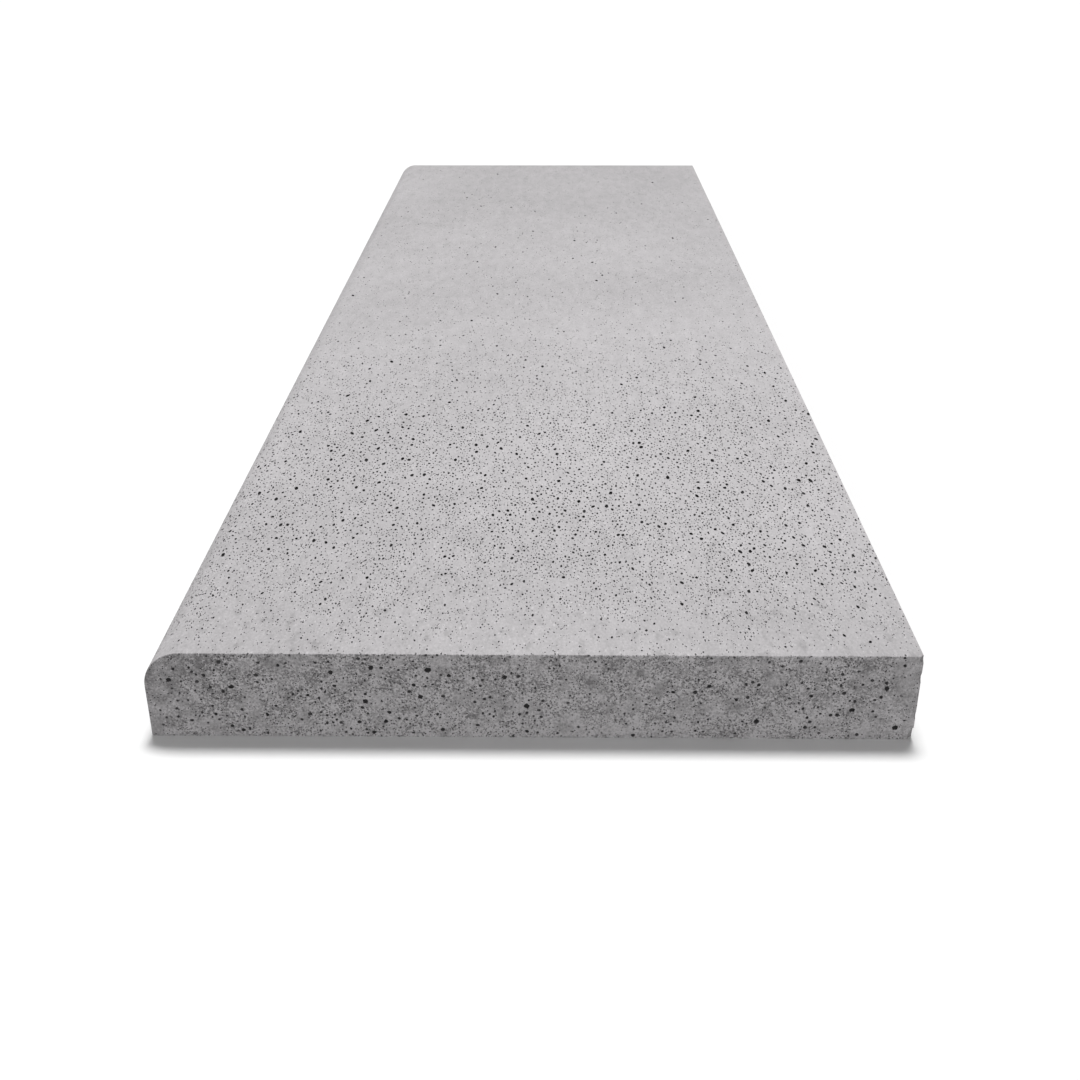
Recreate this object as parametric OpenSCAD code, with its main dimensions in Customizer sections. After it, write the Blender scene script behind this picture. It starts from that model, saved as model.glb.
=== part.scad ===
// Pool coping slab
//
// One piece of sawn and honed stone. It lies on a mortar bed round a pool and
// meets the next slab at each end. The long edge that faces the water is ground
// to a quarter-round nose, and the other edges are left square, with only a
// fine arris so that they don't chip.
//
// Millimetres, +Z up. The length runs along Y, the nose faces -X, and the origin
// is the middle of the bed.

/* [Slab] */
// Length along the pool's edge
slab_l = 1000; // [400:5:1500]
// Width from the face of the nose to the back edge
slab_w = 315; // [150:5:600]
// Thickness from the bed to the walking face
slab_t = 40; // [26:1:80]

/* [Nose] */
// Radius of the quarter-round
nose_r = 16; // [4:0.5:24]

/* [Edges] */
// Arris on the sawn edges, as the width it takes off each of the two faces
arris = 0.5; // [0.3:0.1:2]

/* [Hidden] */
$fn = 128;

stone_grey = "#c1c0c1";

nose_x = nose_r - slab_w / 2; // centre line of the quarter-round
nose_z = slab_t - nose_r;
body_w = slab_w - nose_r; // what lies behind that line

// Outline of the slab in a plane that runs along it and into it: x goes out from
// the inside of the stone to a face at depth, y goes along the slab, and both
// ends of that face have their arris.
module lengthways_outline(depth) {
    end = slab_l / 2;
    polygon([
        [0, -end], [depth - arris, -end], [depth, arris - end],
        [depth, end - arris], [depth - arris, end], [0, end]
    ]);
}

// The quarter-round. Turning the outline about the centre line carries the
// arris round both ends of the nose as a cone.
module nose() {
    translate([nose_x, 0, nose_z])
        rotate([90, -90, 0])
            rotate_extrude(angle = 90)
                lengthways_outline(nose_r);
}

// The upright face below the nose
module front() {
    translate([nose_x, 0, 0])
        linear_extrude(nose_z)
            mirror([1, 0])
                lengthways_outline(nose_r);
}

// Everything behind the centre line of the nose, up to the walking face
module body() {
    translate([nose_x, 0, 0])
        rotate([0, -90, 0])
            mirror([0, 0, 1])
                linear_extrude(body_w)
                    lengthways_outline(slab_t);
}

// Square bar on its corner, which takes the arris off an edge that it is centred on
module arris_bar(length) {
    rotate([0, 0, 45])
        cube([arris * sqrt(2), arris * sqrt(2), length], center = true);
}

// The back edge's arrises: along the top, and down both corners
module back_arrises() {
    spare = 2 * arris;
    translate([slab_w / 2, 0, slab_t])
        rotate([90, 0, 0])
            arris_bar(slab_l + spare);
    for (side = [-1, 1])
        translate([slab_w / 2, side * slab_l / 2, slab_t / 2])
            arris_bar(slab_t + spare);
}

module coping_slab() {
    color(stone_grey)
        difference() {
            union() {
                body();
                front();
                nose();
            }
            back_arrises();
        }
}

coping_slab();
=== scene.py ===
"""Pool coping slab in honed basalt, with a quarter-round nose along the edge over the water.

The slab is modelled in the order in which a mason works. A block is sawn to size, its
nose is ground, its edges get their arris, and then the chips along the edges and the gas
bubbles that the saw laid open are taken out of the faces. Lengths are in metres, +Z up,
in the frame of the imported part: the length runs along Y and the nose faces -X.
"""
import math
import random

import bpy
import numpy as np
from bpy.props import FloatProperty, FloatVectorProperty, IntProperty, PointerProperty
from mathutils import Matrix, Vector, noise


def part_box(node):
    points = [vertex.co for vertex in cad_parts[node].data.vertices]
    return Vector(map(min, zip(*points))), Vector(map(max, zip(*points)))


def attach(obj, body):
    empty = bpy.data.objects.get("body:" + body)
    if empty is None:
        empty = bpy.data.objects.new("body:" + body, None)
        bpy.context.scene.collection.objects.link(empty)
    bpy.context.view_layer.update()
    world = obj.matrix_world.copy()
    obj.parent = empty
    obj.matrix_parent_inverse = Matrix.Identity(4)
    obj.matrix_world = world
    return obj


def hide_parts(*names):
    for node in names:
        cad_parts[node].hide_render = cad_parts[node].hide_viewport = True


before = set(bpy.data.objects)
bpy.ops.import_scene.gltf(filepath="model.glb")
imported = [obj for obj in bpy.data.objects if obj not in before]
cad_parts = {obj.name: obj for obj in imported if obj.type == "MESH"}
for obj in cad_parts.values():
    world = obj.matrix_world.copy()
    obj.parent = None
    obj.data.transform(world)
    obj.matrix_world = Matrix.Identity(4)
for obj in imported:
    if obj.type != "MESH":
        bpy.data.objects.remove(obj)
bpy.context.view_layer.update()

bl_info = {
    "name": "Pool coping slab",
    "version": (1, 0, 0),
    "blender": (4, 5, 0),
    "location": "3D View > Sidebar > Coping",
    "description": "Builds a bullnosed basalt coping slab, and the plain stage that it lies on",
    "category": "Add Mesh",
}

MM = 0.001
CM2 = 1e-4
# Lengths that differ by less than this are the same
SAME = 1e-6
# Where pores lie thickest, there are this many times the usual number
RICHEST = 4.5
# Chips up the near corner at the back: height as a share of the edge, length and depth in mm
WORN_CORNER = ((0.04, 9.0, 2.3), (0.3, 5.0, 0.9), (0.55, 4.0, 0.6), (0.75, 6.0, 1.1), (0.97, 4.5, 1.6))
LOW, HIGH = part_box("coping_slab")
SLAB = HIGH - LOW


def linear(hex_colour):
    """An sRGB colour such as "#c4c2c3" as the linear numbers that shaders use."""
    channels = [int(hex_colour[i:i + 2], 16) / 255 for i in (1, 3, 5)]
    return tuple(c / 12.92 if c <= 0.04045 else ((c + 0.055) / 1.055) ** 2.4 for c in channels)


# ---------------------------------------------------------------------------
# What a user may change


class CopingShape(bpy.types.PropertyGroup):
    """Sizes that the frame's box doesn't give."""

    nose_radius: FloatProperty(
        name="Nose radius", description="Radius of the quarter-round",
        default=16 * MM, min=4 * MM, max=24 * MM, unit="LENGTH")
    nose_facets: IntProperty(
        name="Nose facets", description="Number of flats that stand for the quarter-round",
        default=24, min=8, max=64)
    arris: FloatProperty(
        name="Arris", description="What the eased edges lose off each face",
        default=0.5 * MM, min=0.3 * MM, max=2 * MM, unit="LENGTH")
    seed: IntProperty(
        name="Seed", description="Another number gives another slab of the same stone",
        default=11, min=0)


class CopingFinish(bpy.types.PropertyGroup):
    """Colours and gloss of the stone."""

    light_grey: FloatVectorProperty(
        name="Light grey", description="The lightest grains of the stone",
        default=linear("#d9d6d8"), subtype="COLOR", min=0, max=1)
    dark_grey: FloatVectorProperty(
        name="Dark grey", description="The darkest grains of the stone",
        default=linear("#858384"), subtype="COLOR", min=0, max=1)
    # Pore grey also stands for painted shade: in the pores too fine to be cut, and, darkened further, deep
    # in the cut ones
    pore_grey: FloatVectorProperty(
        name="Pore grey", description="Inside the finest pores; the wider ones are darker",
        default=linear("#323132"), subtype="COLOR", min=0, max=1)
    honed_roughness: FloatProperty(
        name="Honed roughness", description="Roughness of the top, the nose and the front",
        default=0.7, min=0, max=1, subtype="FACTOR")
    sawn_roughness: FloatProperty(
        name="Sawn roughness", description="Roughness of the ends, the back and the bed",
        default=0.85, min=0, max=1, subtype="FACTOR")


class CopingStage(bpy.types.PropertyGroup):
    """Light on the stage."""

    key_strength: FloatProperty(
        name="Key", description="Strength of the soft pair of lamps above and behind the slab",
        default=2.75, min=0)
    side_strength: FloatProperty(
        name="Side lamp", description="Strength of the broad lamp on the nose's side; the back's has half",
        default=0.42, min=0)
    front_strength: FloatProperty(
        name="Front lamp", description="Strength of the low lamp that faces the near end",
        default=1.3, min=0)
    fill_strength: FloatProperty(
        name="Fill", description="Strength of the even light from all round",
        default=0.085, min=0)


# ---------------------------------------------------------------------------
# Faces of the slab, laid out flat


class Sheet:
    """A flat sawn face of the slab. u runs along it and v across it, from one of its corners."""

    sawn = True

    def __init__(self, name, corner, along, across, length, width):
        self.name = name
        self.corner = Vector(corner)
        self.along = Vector(along)
        self.across = Vector(across)
        self.out = self.along.cross(self.across)
        self.length = length
        self.width = width
        self.lengthwise = abs(self.along.y) == 1

    def stand(self, u, v):
        """Frame whose Z axis stands out of the face at (u, v)."""
        axes = Matrix((self.along, self.across, self.out)).transposed().to_4x4()
        return Matrix.Translation(self.corner + u * self.along + v * self.across) @ axes

    def lay(self, points):
        """Where points of the stone fall on the face, and how far they lie from it."""
        away = points - np.array(self.corner)
        return away @ np.array(self.along), away @ np.array(self.across), abs(away @ np.array(self.out))


class NoseSheet(Sheet):
    """The front, the nose and the top as one honed face, with the nose unrolled."""

    sawn = False

    def __init__(self, name, radius):
        self.radius = radius
        self.front = SLAB.z - radius
        self.arc = radius * math.pi / 2
        girth = self.front + self.arc + SLAB.x - radius
        super().__init__(name, (LOW.x, HIGH.y, LOW.z), (0, -1, 0), (0, 0, 1), SLAB.y, girth)

    def stand(self, u, v):
        turn = min(max((v - self.front) / self.radius, 0), math.pi / 2)
        centre = Vector((LOW.x + self.radius, HIGH.y - u, LOW.z + self.front))
        out = Vector((-math.cos(turn), 0, math.sin(turn)))
        across = Vector((math.sin(turn), 0, math.cos(turn)))
        straight = min(v - self.front, 0) + max(v - self.front - self.arc, 0)
        axes = Matrix((self.along, across, out)).transposed().to_4x4()
        return Matrix.Translation(centre + self.radius * out + straight * across) @ axes

    def lay(self, points):
        x = points[:, 0] - LOW.x
        z = points[:, 2] - LOW.z
        out = self.radius - x
        up = z - self.front
        turn = np.clip(np.arctan2(up, np.maximum(out, SAME)), 0, math.pi / 2)
        parts = [out <= 0, up <= 0]
        v = np.select(parts, [self.front + self.arc - out, z], self.front + turn * self.radius)
        off = np.select(parts, [SLAB.z - z, x], self.radius - np.hypot(out, up))
        return HIGH.y - points[:, 1], v, abs(off)


def sheets_of(radius):
    """All the slab's faces."""
    return [
        NoseSheet("top", radius),
        Sheet("near_end", (LOW.x, LOW.y, LOW.z), (1, 0, 0), (0, 0, 1), SLAB.x, SLAB.z),
        Sheet("far_end", (HIGH.x, HIGH.y, LOW.z), (-1, 0, 0), (0, 0, 1), SLAB.x, SLAB.z),
        Sheet("back", (HIGH.x, LOW.y, LOW.z), (0, 1, 0), (0, 0, 1), SLAB.y, SLAB.z),
        Sheet("bed", (LOW.x, LOW.y, LOW.z), (0, 1, 0), (1, 0, 0), SLAB.y, SLAB.x),
    ]


# ---------------------------------------------------------------------------
# Sawing and grinding


def select_only(obj):
    """Makes obj the one selected and active object."""
    bpy.ops.object.select_all(action="DESELECT")
    obj.select_set(True)
    bpy.context.view_layer.objects.active = obj


def select_edges(obj, wanted):
    """Selects, for edit mode, the edges whose two ends make wanted(a, b) true."""
    mesh = obj.data
    for part in (*mesh.vertices, *mesh.polygons):
        part.select = False
    for edge in mesh.edges:
        a, b = (mesh.vertices[i].co for i in edge.vertices)
        edge.select = wanted(a, b)


def bevel_edges(obj, wanted, offset, segments):
    """Rounds or eases the edges that wanted picks."""
    select_edges(obj, wanted)
    bpy.ops.object.mode_set(mode="EDIT")
    bpy.ops.mesh.select_mode(type="EDGE")
    bpy.ops.mesh.bevel(offset=offset, offset_type="OFFSET", segments=segments, profile=0.5)
    bpy.ops.object.mode_set(mode="OBJECT")


def score(obj, point, normal):
    """Cuts a new loop of edges round obj where a plane meets it."""
    bpy.ops.object.mode_set(mode="EDIT")
    bpy.ops.mesh.select_all(action="SELECT")
    bpy.ops.mesh.bisect(plane_co=point, plane_no=normal)
    bpy.ops.object.mode_set(mode="OBJECT")


def near(a, b):
    """Whether two lengths are the same."""
    return abs(a - b) < SAME


def sawn_block():
    """The block at its full size, in its place."""
    bpy.ops.object.select_all(action="DESELECT")
    bpy.ops.mesh.primitive_cube_add(size=1, location=(LOW + HIGH) / 2, scale=SLAB)
    block = bpy.context.object
    block.name = "coping_slab_stone"
    block.data.name = block.name
    bpy.ops.object.transform_apply(location=True, rotation=True, scale=True)
    return block


def grind_nose(slab, radius, facets):
    """Rounds the long top edge on the pool's side."""
    bevel_edges(
        slab, lambda a, b: all(near(p.x, LOW.x) and near(p.z, HIGH.z) for p in (a, b)),
        radius, facets)


def ease_arrises(slab, arris):
    """Eases the top and upright edges. The edges round the bed stay as sawn."""
    def eased(a, b):
        at_end = near(a.y, b.y) and (near(a.y, LOW.y) or near(a.y, HIGH.y))
        above_bed = max(a.z, b.z) > LOW.z + SAME
        back_top = all(near(p.x, HIGH.x) and near(p.z, HIGH.z) for p in (a, b))
        return (at_end and above_bed) or back_top

    bevel_edges(slab, eased, arris, 2)


def score_supports(slab, radius):
    """Keeps the shading of the nose off the flats beside it, and breaks up the long faces."""
    margin = 1.5 * MM
    score(slab, (LOW.x + radius + margin, 0, 0), (1, 0, 0))
    score(slab, (0, 0, HIGH.z - radius - margin), (0, 0, 1))
    strips = 24
    for i in range(1, strips):
        score(slab, (0, LOW.y + SLAB.y * i / strips, 0), (0, 1, 0))


# ---------------------------------------------------------------------------
# Chips and pores


class Ground:
    """Where cutters already stand, so that no two of them touch."""

    # Lengths along the slab count for less, because the bubbles are drawn out that way
    drawn = 2.1

    def __init__(self, cell):
        # At least as wide as two cutters' reaches together
        self.cell = cell
        self.taken = {}

    def key(self, point):
        """The cell that point is in."""
        return tuple(math.floor(c / self.cell) for c in point)

    def free(self, point, reach):
        """Takes the ground within reach of point, unless some of it is already taken."""
        point = Vector((point.x, point.y / self.drawn, point.z))
        home = self.key(point)
        for dx in (-1, 0, 1):
            for dy in (-1, 0, 1):
                for dz in (-1, 0, 1):
                    cell = (home[0] + dx, home[1] + dy, home[2] + dz)
                    for other, other_reach in self.taken.get(cell, ()):
                        if (other - point).length < reach + other_reach:
                            return False
        self.taken.setdefault(home, []).append((point, reach))
        return True


class Cutter:
    """Many copies of small shapes, joined into one mesh."""

    def __init__(self):
        self.points = []
        self.faces = []
        self.count = 0

    def add(self, shape, place):
        """Adds a copy of shape, which stands as the matrix place says."""
        points, faces = shape
        matrix = np.array(place)
        self.points.append(points @ matrix[:3, :3].T + matrix[:3, 3])
        self.faces += [[i + self.count for i in face] for face in faces]
        self.count += len(points)

    def to_object(self, name, material):
        """The copies as one object of that material."""
        mesh = bpy.data.meshes.new(name)
        mesh.from_pydata(np.concatenate(self.points).tolist(), [], self.faces)
        mesh.materials.append(material)
        cutter = bpy.data.objects.new(name, mesh)
        bpy.context.collection.objects.link(cutter)
        return cutter


def take_shape(obj):
    """Points and faces of an object that served as a pattern, which leaves the scene."""
    mesh = obj.data
    points = np.array([v.co for v in mesh.vertices])
    faces = [list(p.vertices) for p in mesh.polygons]
    bpy.data.objects.remove(obj)
    bpy.data.meshes.remove(mesh)
    return points, faces


def bowl(sides, rings, pointed=False):
    """A closed bowl, drawn down from its lid through rings of (radius, height).

    The last ring of a pointed one is drawn together to a point.
    """
    radius, height = rings[0]
    bpy.ops.object.select_all(action="DESELECT")
    bpy.ops.mesh.primitive_circle_add(vertices=sides, radius=radius, fill_type="NGON")
    pattern = bpy.context.object
    bpy.ops.object.mode_set(mode="EDIT")
    bpy.ops.transform.translate(value=(0, 0, height))
    for next_radius, next_height in rings[1:]:
        bpy.ops.mesh.extrude_region_move(TRANSFORM_OT_translate={"value": (0, 0, next_height - height)})
        bpy.ops.transform.resize(value=(next_radius / radius, next_radius / radius, 1))
        radius, height = next_radius, next_height
    if pointed:
        bpy.ops.mesh.merge(type="CENTER")
    bpy.ops.mesh.select_all(action="SELECT")
    bpy.ops.mesh.normals_make_consistent(inside=False)
    bpy.ops.object.mode_set(mode="OBJECT")
    return take_shape(pattern)


def rough_ball():
    """A ball with few faces, for chips."""
    bpy.ops.object.select_all(action="DESELECT")
    bpy.ops.mesh.primitive_ico_sphere_add(subdivisions=2, radius=1)
    return take_shape(bpy.context.object)


def roughened(shape, rng, amount):
    """The shape with each point pushed in or out."""
    points, faces = shape
    push = np.array([rng.uniform(1 - amount, 1 + amount) for _ in points])
    return points * push[:, None], faces


def honed_richness(point):
    """How thick the pores lie on the honed faces, against their usual number."""
    # Most crowd into the near third, though few lie right by the edge, and some stray to the far end
    along = point.y - LOW.y
    crowd = 2.3 / (1 + math.exp((along - 262 * MM) / (44 * MM)))
    crowd *= min(1, 0.06 + along / (95 * MM))
    stray = 0.11 * (1 - along / SLAB.y) ** 0.6
    # Fewer lie towards the nose, and along the back edge
    across = (point.x - LOW.x) / SLAB.x
    side = min(0.7 + 0.6 * across, 0.75 + 2 * (1 - across))
    # They lie in patches, small and large
    patches = noise.noise(point / (10 * MM)) + 0.6 * noise.noise(point / (60 * MM))
    return (crowd * side + stray) * min(max(1 + 0.78 * patches, 0.1), 2.2)


def sawn_richness(point):
    """How thick they lie on the sawn faces: in swarms, and thinner by the nose and the back."""
    patches = noise.noise(point / (9 * MM)) + 0.8 * noise.noise(point / (30 * MM))
    inside = min(point.x - LOW.x, HIGH.x - point.x) / (16 * MM)
    return min(max(1 + 1.8 * patches, 0.08), RICHEST) * min(0.15 + inside, 1)


def swelling(point):
    """How wide the pores of the honed faces are, against their usual width: narrowest by the near end."""
    along = point.y - LOW.y
    return 0.68 + 0.42 * min(along / (160 * MM), 1) + 0.12 * along / SLAB.y


def scatter_pores(cutter, sheet, kinds, share, rng, ground):
    """Sets the pores of one face, from the widest kind to the finest."""
    roughness = 0.25 if sheet.sawn else 0.17
    # How far a roughened bowl reaches at its lid, in radii
    lid = 1.35
    for low, high, per_cm2, depth, drawn, shape in kinds:
        tries = int(per_cm2 * share * RICHEST * sheet.length * sheet.width / CM2)
        for _ in range(tries):
            u = rng.uniform(0, sheet.length)
            v = rng.uniform(0, sheet.width)
            chance = rng.random()
            radius = (low + (high - low) * rng.random() ** 1.7) / 2 * MM
            spin, sink = rng.gauss(0, 0.15), rng.uniform(0.8, 1.3)
            long = rng.uniform(0.8, 1.2) * (drawn if sheet.lengthwise else 1)
            stand = sheet.stand(u, v)
            point = stand.translation
            rich = sawn_richness(point) if sheet.sawn else honed_richness(point)
            radius *= 1 if sheet.sawn else swelling(point)
            reach = lid * radius * max(long / (ground.drawn if sheet.lengthwise else 1), 1)
            if chance > rich / RICHEST or not ground.free(point, reach):
                continue
            size = Matrix.Diagonal((radius * long, radius, radius * depth * sink, 1))
            place = stand @ Matrix.Rotation(spin, 4, "Z") @ size
            cutter.add(roughened(shape, rng, roughness), place)


def pore_cutter(sheets, seed, material):
    """Every pore that is wide enough to be cut, on all the faces."""
    wide = bowl(sides=9, rings=((1, 0.15), (0.9, -0.5), (0.4, -0.95)), pointed=True)
    middle = bowl(sides=6, rings=((1.03, 0.15), (0.75, -0.65)))
    deep = bowl(sides=6, rings=((1.08, 0.15), (0.5, -0.95)), pointed=True)
    fine = bowl(sides=4, rings=((1.1, 0.2), (0.3, -0.95)), pointed=True)
    # Least and greatest width in mm, usual number to a square centimetre, depth in radii, length
    # in widths, and shape
    honed = (
        (1.3, 1.9, 0.2, 1.6, 2.0, wide), (0.95, 1.3, 1.55, 2.4, 2.0, deep),
        (0.64, 0.95, 9.4, 2.6, 2.0, fine))
    sawn = (
        (1.8, 2.8, 0.2, 0.9, 1.7, wide), (1.15, 1.8, 2.1, 0.9, 1.7, middle),
        (0.7, 1.15, 7.5, 1.2, 1.9, fine))
    # Kinds of pore on each face, and its share of their number. The far end, the back and the bed
    # get only the wider ones, and fewer of them, which keeps the mesh light
    lots = {
        "top": (honed, 1), "near_end": (sawn, 1), "far_end": (sawn[:2], 0.5),
        "back": (sawn[:2], 0.15), "bed": (sawn[:2], 0.01)}
    rng, ground, cutter = random.Random(seed), Ground(5 * MM), Cutter()
    for sheet in sheets:
        kinds, share = lots[sheet.name]
        scatter_pores(cutter, sheet, kinds, share, rng, ground)
    return cutter.to_object("pores", material)


def edges_that_chip():
    """Straight edges clear of the nose: one end, the other end, and the way out of both faces."""
    clear = 18 * MM
    near, far = LOW.y, HIGH.y
    nose_x, nose_z = LOW.x + clear, HIGH.z - clear
    return {
        "near_top": ((nose_x, near, HIGH.z), (HIGH.x, near, HIGH.z), (0, -1, 1)),
        "near_foot": ((LOW.x, near, LOW.z), (HIGH.x, near, LOW.z), (0, -1, -1)),
        "near_back": ((HIGH.x, near, LOW.z), (HIGH.x, near, HIGH.z), (1, -1, 0)),
        "near_front": ((LOW.x, near, LOW.z), (LOW.x, near, nose_z), (-1, -1, 0)),
        "far_top": ((nose_x, far, HIGH.z), (HIGH.x, far, HIGH.z), (0, 1, 1)),
        "far_foot": ((LOW.x, far, LOW.z), (HIGH.x, far, LOW.z), (0, 1, -1)),
        "far_back": ((HIGH.x, far, LOW.z), (HIGH.x, far, HIGH.z), (1, 1, 0)),
        "far_front": ((LOW.x, far, LOW.z), (LOW.x, far, nose_z), (-1, 1, 0)),
        "back_top": ((HIGH.x, near, HIGH.z), (HIGH.x, far, HIGH.z), (1, 0, 1)),
        "back_foot": ((HIGH.x, near, LOW.z), (HIGH.x, far, LOW.z), (1, 0, -1)),
        "front_foot": ((LOW.x, near, LOW.z), (LOW.x, far, LOW.z), (-1, 0, -1)),
    }


def nick_cutter(seed, material):
    """Small chips that sawing and handling broke out of the edges."""
    ball = rough_ball()
    rng, ground, cutter = random.Random(seed), Ground(15 * MM), Cutter()

    def chip(edge, place, length, depth):
        """Breaks out a chip that long and deep, unless there is one in its place already."""
        start, end, out = (Vector(p) for p in edge)
        along = (end - start).normalized()
        point = start + (end - start) * place
        # It keeps a little more than half its length clear to each side
        if not ground.free(point, 0.7 * length):
            return
        # A ball over the edge that bites into it to that depth, over that length
        rise = ((length / 2) ** 2 - depth ** 2) / (2 * depth)
        radius = rise + depth
        stand = Matrix.Translation(point + out.normalized() * rise)
        turn = Matrix.Rotation(rng.uniform(0, math.tau), 4, along)
        cutter.add(roughened(ball, rng, 0.05), stand @ turn @ Matrix.Scale(radius, 4))

    edges = edges_that_chip()
    for place, length, depth in WORN_CORNER:
        chip(edges["near_back"], place, length * MM, depth * MM)
    for name, edge in edges.items():
        run = (Vector(edge[1]) - Vector(edge[0])).length
        spacing = 26 * MM if name.startswith(("near", "far")) else 45 * MM
        for _ in range(int(run / spacing)):
            chip(edge, rng.uniform(0.01, 0.99), rng.uniform(1.2, 3.2) * MM, rng.uniform(0.4, 0.75) * MM)
    return cutter.to_object("nicks", material)


def cut(slab, cutter):
    """Takes the cutter out of the slab, with the cutter's material on the new faces."""
    select_only(slab)
    saw = slab.modifiers.new("cut", "BOOLEAN")
    saw.operation = "DIFFERENCE"
    saw.solver = "MANIFOLD"
    saw.material_mode = "TRANSFER"
    saw.object = cutter
    bpy.ops.object.modifier_apply(modifier=saw.name)
    bpy.data.objects.remove(cutter)


# ---------------------------------------------------------------------------
# Map


def lay_map(slab, sheets):
    """Lays the faces side by side on one map, each pore inside its own face."""
    # Share of the map's height for each strip of it. The two ends stand side by side in one
    heights = {"top": 0.56, "near_end": 0.09, "back": 0.06, "bed": 0.23}
    gap = (1 - sum(heights.values())) / (len(heights) + 1)
    rooms = {}
    bottom = gap
    for name, height in heights.items():
        rooms[name] = (gap, bottom, 1 - 2 * gap, height)
        bottom += height + gap
    _, bottom, _, height = rooms["near_end"]
    half = (1 - 3 * gap) / 2
    rooms["near_end"] = (gap, bottom, half, height)
    rooms["far_end"] = (2 * gap + half, bottom, half, height)

    mesh = slab.data
    points = np.empty(len(mesh.vertices) * 3)
    mesh.vertices.foreach_get("co", points)
    points = points.reshape(-1, 3)
    corners = np.empty(len(mesh.loops), int)
    mesh.loops.foreach_get("vertex_index", corners)
    centres = np.empty(len(mesh.polygons) * 3)
    mesh.polygons.foreach_get("center", centres)
    counts = np.empty(len(mesh.polygons), int)
    mesh.polygons.foreach_get("loop_total", counts)
    off = np.stack([sheet.lay(centres.reshape(-1, 3))[2] for sheet in sheets])
    nearest = np.repeat(off.argmin(0), counts)
    uv = np.empty((len(corners), 2))
    for i, sheet in enumerate(sheets):
        u, v, _ = sheet.lay(points)
        left, low, width, height = rooms[sheet.name]
        laid = np.stack([left + u / sheet.length * width, low + v / sheet.width * height], 1)
        uv[nearest == i] = laid[corners[nearest == i]]
    layer = mesh.uv_layers.new(name="OFBake")
    layer.uv.foreach_set("vector", uv.ravel())


# ---------------------------------------------------------------------------
# Finishes


def add_node(tree, kind, inputs=None, **settings):
    """Adds a shader node and gives its outputs.

    Its inputs are plain values or links. They go by name, or by number where names repeat.
    """
    node = tree.nodes.new("ShaderNode" + kind)
    for name, value in settings.items():
        setattr(node, name, value)
    for key, value in (inputs or {}).items():
        if isinstance(value, bpy.types.NodeSocket):
            tree.links.new(value, node.inputs[key])
        else:
            node.inputs[key].default_value = value
    return node.outputs


def new_material(name):
    """A material and its node tree, still empty."""
    material = bpy.data.materials.new(name)
    material.use_nodes = True
    material.node_tree.nodes.clear()
    return material, material.node_tree


def depths(tree, where, radius):
    """How deep a point lies under the honed faces, and how deep under the nearest sawn one."""
    axes = add_node(tree, "SeparateXYZ", {0: where})
    out = add_node(tree, "Math", {0: LOW.x + radius, 1: axes["X"]}, operation="SUBTRACT", use_clamp=True)[0]
    up = add_node(tree, "Math", {0: axes["Z"], 1: HIGH.z - radius}, operation="SUBTRACT", use_clamp=True)[0]
    aside = add_node(tree, "CombineXYZ", {0: out, 1: up})[0]
    arm = add_node(tree, "VectorMath", {0: aside}, operation="LENGTH")["Value"]
    honed = add_node(tree, "Math", {0: radius, 1: arm}, operation="SUBTRACT")[0]
    # The two ends lie as far from the middle as each other
    along = add_node(tree, "Math", {0: axes["Y"]}, operation="ABSOLUTE")[0]
    end = add_node(tree, "Math", {0: HIGH.y, 1: along}, operation="SUBTRACT")[0]
    back = add_node(tree, "Math", {0: HIGH.x, 1: axes["X"]}, operation="SUBTRACT")[0]
    bed = add_node(tree, "Math", {0: axes["Z"], 1: LOW.z}, operation="SUBTRACT")[0]
    upright = add_node(tree, "Math", {0: end, 1: back}, operation="MINIMUM")[0]
    return honed, add_node(tree, "Math", {0: upright, 1: bed}, operation="MINIMUM")[0]


def stone_clouds(tree, where, drawn):
    """Clouds that change the stone's tone, by name."""
    flow = add_node(tree, "Mapping", {"Vector": where, "Scale": (1, 1 / 3, 1)})[0]
    clouds = {}
    # Size in mm, detail and roughness of each noise, and how its values are spread. The grain is
    # finer in the real stone, and is drawn as coarse as it needs to be to show
    for name, vector, size, detail, rough, low, high, least, most in (
            ("slow", where, 150, 3, 0.5, 0.3, 0.7, -1, 1),
            ("swarm", drawn, 11, 2, 0.6, 0.36, 0.62, 0.1, 0.85),
            ("blotch", flow, 8, 3, 0.6, 0.3, 0.7, -1, 1),
            ("smudge", drawn, 4.5, 2, 0.5, 0.56, 0.7, 0, 1),
            ("grain", drawn, 1.0, 3, 0.8, 0.25, 0.75, -1, 1)):
        cloud = add_node(tree, "TexNoise", {
            "Vector": vector, "Scale": 1 / (size * MM), "Detail": detail, "Roughness": rough})[0]
        clouds[name] = add_node(tree, "MapRange", {
            "Value": cloud, "From Min": low, "From Max": high, "To Min": least, "To Max": most})[0]

    # Crystals, each with a tone of its own. They are drawn coarser than they are, as the grain is
    cells = add_node(tree, "TexVoronoi", {"Vector": drawn, "Scale": 1 / (0.8 * MM)})["Color"]
    lot = add_node(tree, "SeparateColor", {0: cells})["Red"]
    clouds["crystals"] = add_node(tree, "MapRange", {"Value": lot, "To Min": -1.0})[0]
    return clouds


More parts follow.
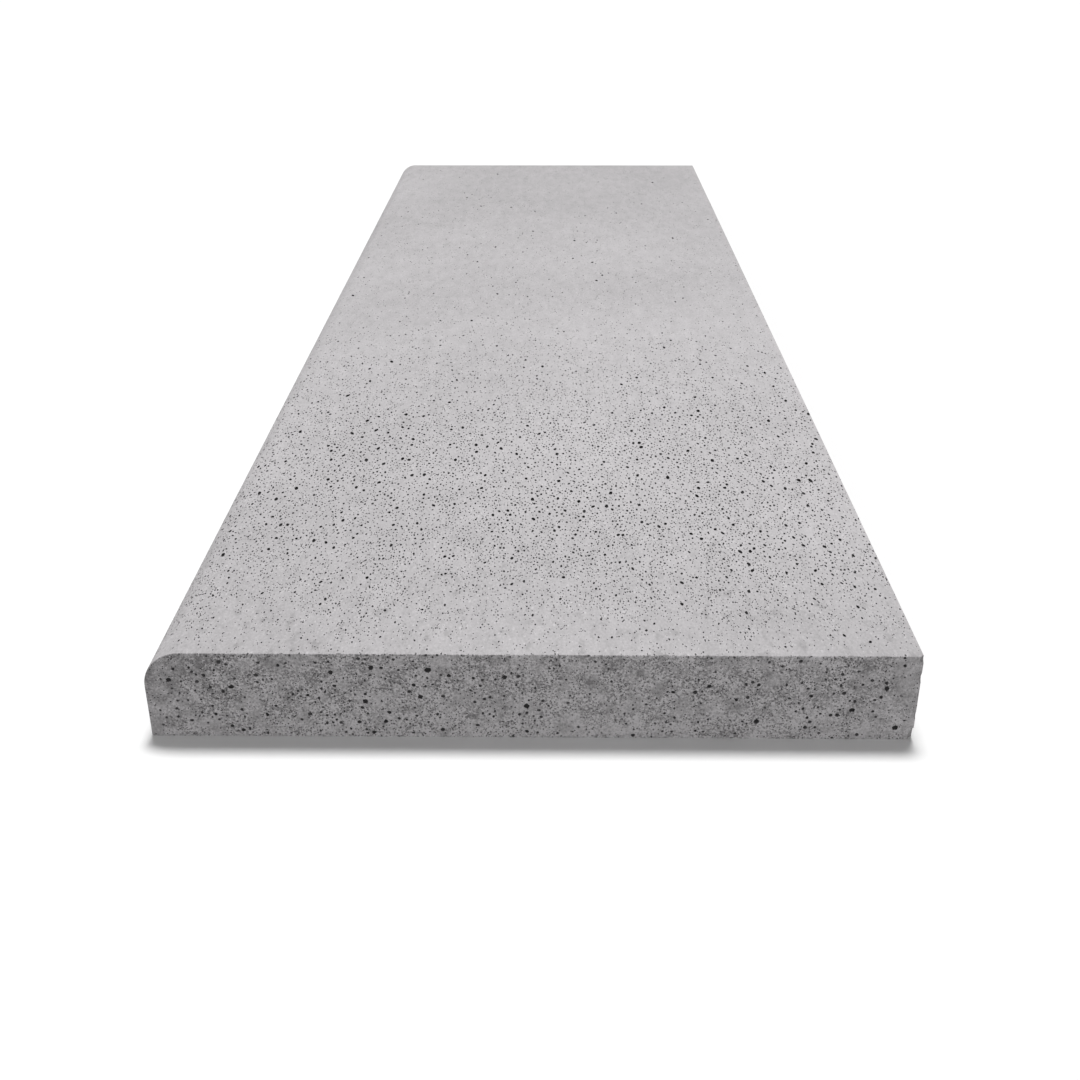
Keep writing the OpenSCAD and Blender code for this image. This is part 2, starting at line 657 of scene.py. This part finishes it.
def fine_shares(tree, axes, sawn, swarm):
    """Shares of the cells in the stone that hold a fine pore or a fleck, and how busy a sawn face is."""
    # On the honed faces they thin out along the slab, as the cut pores do, and by the near edge
    lively = add_node(tree, "MapRange", {
        "Value": axes["Y"], "From Min": LOW.y + 480 * MM, "From Max": LOW.y + 200 * MM,
        "To Min": 0.28, "To Max": 1.0}, interpolation_type="SMOOTHSTEP")[0]
    first = add_node(tree, "MapRange", {
        "Value": axes["Y"], "From Min": LOW.y, "From Max": LOW.y + 30 * MM,
        "To Min": 0.38, "To Max": 1.0})[0]
    lively = add_node(tree, "Math", {0: lively, 1: first}, operation="MULTIPLY")[0]
    lively = add_node(tree, "Mix", {0: sawn, 2: lively, 3: 1.0}, data_type="FLOAT")[0]

    # A sawn face is busy with them in places, and plain by the nose and the back
    aside = add_node(tree, "Math", {0: axes["X"], 1: (LOW.x + HIGH.x) / 2}, operation="SUBTRACT")[0]
    aside = add_node(tree, "Math", {0: aside}, operation="ABSOLUTE")[0]
    plain = add_node(tree, "MapRange", {
        "Value": aside, "From Min": SLAB.x / 2, "From Max": SLAB.x / 2 - 25 * MM,
        "To Min": 0.15, "To Max": 1})[0]
    busy = add_node(tree, "Math", {0: plain, 1: swarm}, operation="MULTIPLY")[0]

    pore = add_node(tree, "Math", {0: lively, 1: swarm}, operation="MULTIPLY")[0]
    fine_pore = add_node(tree, "Mix", {0: sawn, 2: pore, 3: busy}, data_type="FLOAT")[0]
    fleck = add_node(tree, "Math", {0: sawn, 1: busy}, operation="MULTIPLY")[0]
    return {"pore": pore, "fine_pore": fine_pore, "fleck": fleck}, busy


def fine_spots(tree, drawn, shares):
    """Pores too fine to be cut, drawn dark with painted shade, the pale rims of the wider of them, which
    are dust and painted highlight, and light flecks.
    """
    spots = {}
    # Distance between two of a kind, and their least and greatest radius, in mm
    for name, spacing, least, most in (
            ("fleck", 1.4, 0.22, 0.45), ("fine_pore", 1.2, 0.16, 0.36), ("pore", 1.5, 0.2, 0.5)):
        cells = add_node(tree, "TexVoronoi", {"Vector": drawn, "Scale": 1 / (spacing * MM)})
        lot = add_node(tree, "SeparateColor", {0: cells["Color"]})
        radius = add_node(tree, "MapRange", {
            "Value": lot["Green"], "To Min": least / spacing, "To Max": most / spacing})[0]
        far = add_node(tree, "Math", {0: cells["Distance"], 1: radius}, operation="DIVIDE")[0]
        inside = add_node(tree, "Math", {0: 1.0, 1: far}, operation="SUBTRACT", use_clamp=True)[0]
        chosen = add_node(tree, "Math", {0: lot["Red"], 1: shares[name]}, operation="LESS_THAN")[0]
        spots[name] = add_node(tree, "Math", {0: inside, 1: chosen}, operation="MULTIPLY")[0]
    # The last kind, the wider pores, has a pale ring just outside its radius: dust, and a painted highlight
    # of the pore's edge
    dust_and_highlight_rim = add_node(tree, "Math", {0: far, 1: 1.3, 2: 0.25}, operation="COMPARE")[0]
    dust_and_highlight_rim = add_node(tree, "Math", {0: dust_and_highlight_rim, 1: chosen}, operation="MULTIPLY")[0]
    pores = add_node(tree, "Math", {0: spots["pore"], 1: spots["fine_pore"]}, operation="MAXIMUM")[0]
    return pores, dust_and_highlight_rim, spots["fleck"]


def stone_tone(tree, axes, sawn, clouds, busy):
    """How light the stone is, from 0 to about 1, with painted light at the foot of the sawn faces."""
    # The honed faces are lightest a little way along the slab and duller towards the far end
    rise = add_node(tree, "MapRange", {
        "Value": axes["Y"], "From Min": LOW.y, "From Max": LOW.y + 180 * MM,
        "To Min": 0.49, "To Max": 0.61})[0]
    fall = add_node(tree, "MapRange", {
        "Value": axes["Y"], "From Min": LOW.y + 200 * MM, "From Max": HIGH.y,
        "To Min": 0.61, "To Max": 0.42})[0]
    honed = add_node(tree, "Math", {0: rise, 1: fall}, operation="MINIMUM")[0]

    # The sawn ones are lighter towards the foot, which is painted light that makes up for the light the
    # shadowed floor throws back there, and duller by the nose
    cut = add_node(tree, "MapRange", {
        "Value": axes["Z"], "From Min": LOW.z, "From Max": HIGH.z,
        "To Min": 0.72, "To Max": 0.47})[0]
    dull = add_node(tree, "MapRange", {
        "Value": axes["X"], "From Min": LOW.x, "From Max": LOW.x + 75 * MM,
        "To Min": -0.2, "To Max": 0.0})[0]
    cut = add_node(tree, "Math", {0: cut, 1: dull}, operation="ADD")[0]

    # Grain and crystals show most where a sawn face is busy, and handling has left darker
    # smudges on the honed ones by the near end
    grainy = add_node(tree, "MapRange", {
        "Value": busy, "From Max": 0.7, "To Min": 0.3, "To Max": 1.1})[0]
    speckled = add_node(tree, "MapRange", {
        "Value": busy, "From Max": 0.7, "To Min": 0.06, "To Max": 0.45})[0]
    scuffs = add_node(tree, "MapRange", {
        "Value": axes["Y"], "From Min": LOW.y, "From Max": LOW.y + 120 * MM,
        "To Min": -0.19, "To Max": -0.09})[0]
    for name, on_honed, on_sawn in (
            ("slow", 0.065, 0.0), ("blotch", 0.07, 0.34), ("smudge", scuffs, -0.22),
            ("grain", 0.2, grainy), ("crystals", 0.04, speckled)):
        cloud = clouds[name]
        honed = add_node(tree, "Math", {0: cloud, 1: on_honed, 2: honed}, operation="MULTIPLY_ADD")[0]
        cut = add_node(tree, "Math", {0: cloud, 1: on_sawn, 2: cut}, operation="MULTIPLY_ADD")[0]
    return add_node(tree, "Mix", {0: sawn, 2: honed, 3: cut}, data_type="FLOAT")[0]


def basalt(finish, shape):
    """Basalt, a dense lava with gas bubbles, honed on the faces that show and sawn elsewhere.

    Honing leaves it matt, smooth and light. The saw leaves a rougher face with more of its
    grain and small pores open, which reads as a coarser and busier grey.
    """
    material, tree = new_material("honed_basalt")
    where = add_node(tree, "TexCoord")["Object"]
    axes = add_node(tree, "SeparateXYZ", {0: where})
    # Most of what is in the stone is drawn out along the slab, the way the lava flowed
    drawn = add_node(tree, "Mapping", {"Vector": where, "Scale": (1, 1 / 1.9, 1)})[0]
    below = depths(tree, where, shape.nose_radius)[1]
    sawn = add_node(tree, "Math", {0: below, 1: shape.arris / 2}, operation="LESS_THAN")[0]

    clouds = stone_clouds(tree, where, drawn)
    shares, busy = fine_shares(tree, axes, sawn, clouds["swarm"])
    pores, dust_and_highlight_rim, fleck = fine_spots(tree, drawn, shares)
    tone = stone_tone(tree, axes, sawn, clouds, busy)
    # Pale rings round the wider fine pores: dust, and painted highlight of their edges
    tone = add_node(tree, "Math", {0: dust_and_highlight_rim, 1: 0.2, 2: tone}, operation="MULTIPLY_ADD")[0]
    tone = add_node(tree, "Math", {0: fleck, 1: 1.2, 2: tone}, operation="MULTIPLY_ADD", use_clamp=True)[0]
    colour = add_node(tree, "Mix", {
        0: tone, 6: (*finish.dark_grey, 1), 7: (*finish.light_grey, 1)}, data_type="RGBA")[2]
    # The fine pores are drawn in the pore grey: their own dark and the painted shade inside them
    pore_grey_and_shade = add_node(tree, "MapRange", {"Value": pores, "From Max": 0.25, "To Max": 0.9})[0]
    colour = add_node(tree, "Mix", {0: pore_grey_and_shade, 6: colour, 7: (*finish.pore_grey, 1)}, data_type="RGBA")[2]

    rough = add_node(tree, "MapRange", {
        "Value": sawn, "To Min": finish.honed_roughness, "To Max": finish.sawn_roughness})[0]
    rough = add_node(tree, "Math", {0: clouds["grain"], 1: 0.05, 2: rough}, operation="MULTIPLY_ADD")[0]
    relief = add_node(tree, "MapRange", {"Value": sawn, "To Min": 0.05, "To Max": 0.35})[0]
    relief = add_node(tree, "Math", {0: clouds["grain"], 1: relief}, operation="MULTIPLY")[0]
    relief = add_node(tree, "Math", {0: relief, 1: pores}, operation="SUBTRACT")[0]
    bump = add_node(tree, "Bump", {"Height": relief, "Strength": 0.6, "Distance": 0.3 * MM})[0]
    stone = add_node(tree, "BsdfPrincipled", {
        "Base Color": colour, "Roughness": rough, "Normal": bump,
        "IOR": 1.55, "Specular IOR Level": 0.25})[0]
    add_node(tree, "OutputMaterial", {"Surface": stone})
    return material


def pore_wall(finish, shape):
    """Inside of an open gas bubble: rough basalt, paler by the rim with dust and darker farther in, a
    darkening with depth that is painted shade of the hollow.
    """
    material, tree = new_material("open_pore")
    darkest_painted_shade = Vector(finish.pore_grey) * 0.3
    where = add_node(tree, "TexCoord")["Object"]
    honed, sawn = depths(tree, where, shape.nose_radius)
    # Darker with depth under the faces: painted shade in the hollow, broken up by a noise
    below = add_node(tree, "MapRange", {"Value": honed, "From Max": 0.15 * MM, "To Min": 0.95})[0]
    within = add_node(tree, "MapRange", {"Value": sawn, "From Max": 0.6 * MM, "To Min": 0.45})[0]
    deep = add_node(tree, "Math", {0: below, 1: within}, operation="MINIMUM")[0]
    dust_and_shade_noise = add_node(tree, "TexNoise", {"Vector": where, "Scale": 1 / (0.8 * MM), "Detail": 2.0})[0]
    deep = add_node(tree, "Math", {0: dust_and_shade_noise, 1: -0.15, 2: deep}, operation="MULTIPLY_ADD", use_clamp=True)[0]
    colour = add_node(tree, "Mix", {
        0: deep, 6: (*finish.dark_grey, 1), 7: (*darkest_painted_shade, 1)}, data_type="RGBA")[2]
    stone = add_node(tree, "BsdfPrincipled", {"Base Color": colour, "Roughness": 0.95, "IOR": 1.55})[0]
    add_node(tree, "OutputMaterial", {"Surface": stone})
    return material


def broken_edge(finish):
    """Fresh break in the basalt, where an edge has chipped: rough and a little uneven in tone."""
    material, tree = new_material("chipped_basalt")
    where = add_node(tree, "TexCoord")["Object"]
    grain = add_node(tree, "TexNoise", {"Vector": where, "Scale": 1 / (1.0 * MM), "Detail": 3.0})[0]
    tone = add_node(tree, "MapRange", {"Value": grain, "From Min": 0.3, "From Max": 0.7, "To Max": 0.5})[0]
    colour = add_node(tree, "Mix", {
        0: tone, 6: (*finish.dark_grey, 1), 7: (*finish.light_grey, 1)}, data_type="RGBA")[2]
    stone = add_node(tree, "BsdfPrincipled", {"Base Color": colour, "Roughness": 0.9, "IOR": 1.55})[0]
    add_node(tree, "OutputMaterial", {"Surface": stone})
    return material


# ---------------------------------------------------------------------------
# Operators


class COPING_OT_slab(bpy.types.Operator):
    """Model the slab and give it its stone"""

    bl_idname = "coping.slab"
    bl_label = "Coping slab"

    def execute(self, context):
        shape, finish = context.scene.coping_shape, context.scene.coping_finish
        stone, pore, broken = basalt(finish, shape), pore_wall(finish, shape), broken_edge(finish)
        sheets = sheets_of(shape.nose_radius)
        slab = sawn_block()
        slab.data.materials.append(stone)
        grind_nose(slab, shape.nose_radius, shape.nose_facets)
        ease_arrises(slab, shape.arris)
        score_supports(slab, shape.nose_radius)
        cut(slab, nick_cutter(shape.seed, broken))
        cut(slab, pore_cutter(sheets, shape.seed, pore))
        bpy.ops.object.shade_smooth_by_angle(angle=math.radians(15))
        lay_map(slab, sheets)
        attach(slab, "root")
        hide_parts("coping_slab")
        return {"FINISHED"}


class COPING_OT_stage(bpy.types.Operator):
    """Lay the floor and set up the light and the camera"""

    bl_idname = "coping.stage"
    bl_label = "Stage"

    def execute(self, context):
        settings = context.scene.coping_stage
        lay_floor()
        hang_lights(context.scene, settings)
        place_camera(context.scene)
        context.scene.view_settings.view_transform = "Standard"
        return {"FINISHED"}


def seen_directly(tree):
    """1 for what the camera sees, straight or in a gloss or a glass, and 0 for light that falls."""
    path = add_node(tree, "LightPath")
    camera, gloss, glass = (path[f"Is {ray} Ray"] for ray in ("Camera", "Glossy", "Transmission"))
    seen = add_node(tree, "Math", {0: camera, 1: gloss}, operation="MAXIMUM")[0]
    return add_node(tree, "Math", {0: seen, 1: glass}, operation="MAXIMUM")[0]


def lay_floor():
    """A matt floor, white to the camera, that throws back light as a mid-grey one does."""
    bpy.ops.object.select_all(action="DESELECT")
    bpy.ops.mesh.primitive_plane_add(size=80, location=(0, 0, LOW.z))
    floor = bpy.context.object
    floor.name = "floor"
    material, tree = new_material("matt_white_floor")
    colour = add_node(tree, "Mix", {
        0: seen_directly(tree), 6: (*linear("#808080"), 1), 7: (1, 1, 1, 1)}, data_type="RGBA")[2]
    matt = add_node(tree, "BsdfDiffuse", {"Color": colour})[0]
    add_node(tree, "OutputMaterial", {"Surface": matt})
    floor.data.materials.append(material)


def hang_sun(name, towards, strength, width):
    """A lamp that shines in one direction, soft by its width in degrees."""
    bpy.ops.object.light_add(type="SUN", location=Vector(towards))
    lamp = bpy.context.object
    lamp.name = name
    lamp.data.energy = strength
    lamp.data.angle = math.radians(width)
    lamp.rotation_euler = (-Vector(towards)).to_track_quat("-Z", "Y").to_euler()


def hang_lights(scene, settings):
    """A soft key above and behind the slab, a low lamp on each side and in front, and an even fill."""
    hang_sun("soft_key_left", (-0.04, 0.31, 1), settings.key_strength / 2, 14)
    hang_sun("soft_key_right", (0.08, 0.31, 1), settings.key_strength / 2, 14)
    hang_sun("nose_side_lamp", (-0.9, 0.0, 0.42), settings.side_strength, 70)
    hang_sun("back_side_lamp", (0.9, 0.0, 0.3), settings.side_strength / 2, 70)
    hang_sun("front_lamp", (0.0, -1.0, 0.1), settings.front_strength, 30)

    world = bpy.data.worlds.new("studio")
    world.use_nodes = True
    tree = world.node_tree
    tree.nodes.clear()
    fill = add_node(tree, "Background", {"Color": (1, 1, 1, 1), "Strength": settings.fill_strength})[0]
    white = add_node(tree, "Background", {"Color": (1, 1, 1, 1), "Strength": 1.0})[0]
    mix = add_node(tree, "MixShader", {0: seen_directly(tree), 1: fill, 2: white})[0]
    add_node(tree, "OutputWorld", {"Surface": mix})
    scene.world = world


def place_camera(scene):
    """The camera stands before the near end, above it, and looks down along the slab."""
    before, right, above = 449.9 * MM, 9.0 * MM, 318.6 * MM
    pitch, pan, roll = math.radians(26.77), math.radians(0.66), math.radians(-0.09)
    bpy.ops.object.camera_add()
    camera = bpy.context.object
    camera.name = "camera"
    turn = Matrix.Rotation(pan, 4, "Z") @ Matrix.Rotation(math.pi / 2 - pitch, 4, "X")
    camera.matrix_world = (
        Matrix.Translation((right, LOW.y - before, LOW.z + above)) @ turn @ Matrix.Rotation(roll, 4, "Z"))
    camera.data.lens = 43.865
    camera.data.sensor_width = 36
    camera.data.clip_start, camera.data.clip_end = 0.02, 100
    scene.camera = camera


class COPING_PT_panel(bpy.types.Panel):
    """Sidebar panel of the coping slab"""

    bl_idname = "COPING_PT_panel"
    bl_label = "Coping"
    bl_space_type = "VIEW_3D"
    bl_region_type = "UI"
    bl_category = "Coping"

    def draw(self, context):
        for group in ("coping_shape", "coping_finish", "coping_stage"):
            settings = getattr(context.scene, group)
            for name in type(settings).__annotations__:
                self.layout.prop(settings, name)
        for operator in (COPING_OT_slab, COPING_OT_stage):
            self.layout.operator(operator.bl_idname)


GROUPS = {"coping_shape": CopingShape, "coping_finish": CopingFinish, "coping_stage": CopingStage}
CLASSES = (*GROUPS.values(), COPING_OT_slab, COPING_OT_stage, COPING_PT_panel)


def register():
    for item in CLASSES:
        bpy.utils.register_class(item)
    for name, group in GROUPS.items():
        setattr(bpy.types.Scene, name, PointerProperty(type=group))


def unregister():
    for name in GROUPS:
        delattr(bpy.types.Scene, name)
    for item in reversed(CLASSES):
        bpy.utils.unregister_class(item)


def main():
    register()
    bpy.ops.coping.slab()
    bpy.ops.coping.stage()


if __name__ == "__main__":
    main()
